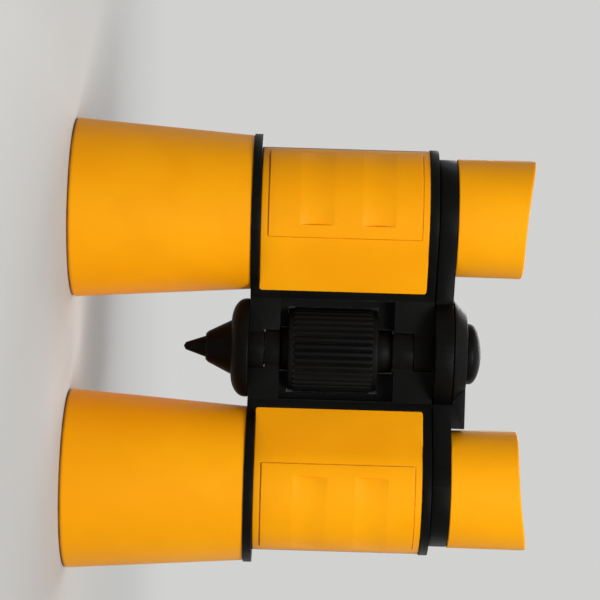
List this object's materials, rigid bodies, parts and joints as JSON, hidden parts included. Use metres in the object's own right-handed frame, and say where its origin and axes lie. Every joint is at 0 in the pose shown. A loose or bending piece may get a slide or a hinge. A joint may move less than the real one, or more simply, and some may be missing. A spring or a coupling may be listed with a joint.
{
  "type": "toy binoculars",
  "caption": "Toy binoculars with flared objective tubes, grip panels, a folding centre hinge, a ribbed focus wheel that slides the eyepieces, and soft winged eyecups.",
  "frame": {"origin": "on the floor midway between the barrels, in the plane of the objective rims that the binoculars stand on", "axes": "+X across the barrels towards the user's left barrel, -Y towards the focus wheel's side, +Z along the barrels up to the eyecups"},
  "size_m": [0.1096, 0.0436, 0.112],
  "materials": {
    "yellow_plastic": "satin moulded plastic, warm yellow",
    "black_plastic": "fine-grained satin black moulded plastic",
    "yellow_rubber": "soft matte yellow rubber",
    "wheel_rubber": "satin black with moulded ribs",
    "lens_glass": "clear polished lens",
    "pale_acetal": "plain acetal"
  },
  "bodies": {
    "right_barrel": {"right_frame": "black_plastic", "right_front_panel": "yellow_plastic", "right_back_panel": "yellow_plastic", "right_objective_tube": "yellow_plastic", "right_objective_lens": "lens_glass", "right_objective_ring": "black_plastic", "front_hinge_cap": "black_plastic"},
    "left_barrel": {"left_frame": "black_plastic", "left_front_panel": "yellow_plastic", "left_back_panel": "yellow_plastic", "left_objective_tube": "yellow_plastic", "left_objective_lens": "lens_glass", "left_objective_ring": "black_plastic"},
    "focus_drive": {"focus_wheel": "wheel_rubber", "focus_axle": "pale_acetal"},
    "right_eyepiece": {"right_eyepiece_arm": "black_plastic", "right_draw_tube": "black_plastic", "right_eyepiece_lens": "lens_glass", "right_eyepiece_ring": "black_plastic", "right_eyecup": "yellow_rubber", "focus_screw": "pale_acetal", "hub_cap": "black_plastic"},
    "left_eyepiece": {"left_eyepiece_arm": "black_plastic", "left_draw_tube": "black_plastic", "left_eyepiece_lens": "lens_glass", "left_eyepiece_ring": "black_plastic", "left_eyecup": "yellow_rubber"}
  },
  "joints": [
    {"name": "fold", "type": "hinge", "parent": "right_barrel", "child": "left_barrel", "pos_m": [0, 0, 0.066], "axis": [0, 0, 1], "range_deg": [0, 70]},
    {"name": "focus_turn", "type": "hinge", "parent": "right_barrel", "child": "focus_drive", "pos_m": [0, 0, 0.066], "axis": [0, 0, -1], "range_deg": [0, 360]},
    {"name": "right_eyepiece_slide", "type": "slide", "parent": "right_barrel", "child": "right_eyepiece", "axis": [0, 0, 1], "range_m": [0, 0.006]},
    {"name": "left_eyepiece_slide", "type": "slide", "parent": "left_barrel", "child": "left_eyepiece", "axis": [0, 0, 1], "range_m": [0, 0.006]}
  ],
  "couplings": [
    {"joint": "right_eyepiece_slide", "follows": "focus_turn", "m_per_rad": 0.00095492},
    {"joint": "left_eyepiece_slide", "follows": "focus_turn", "m_per_rad": 0.00095492}
  ]
}
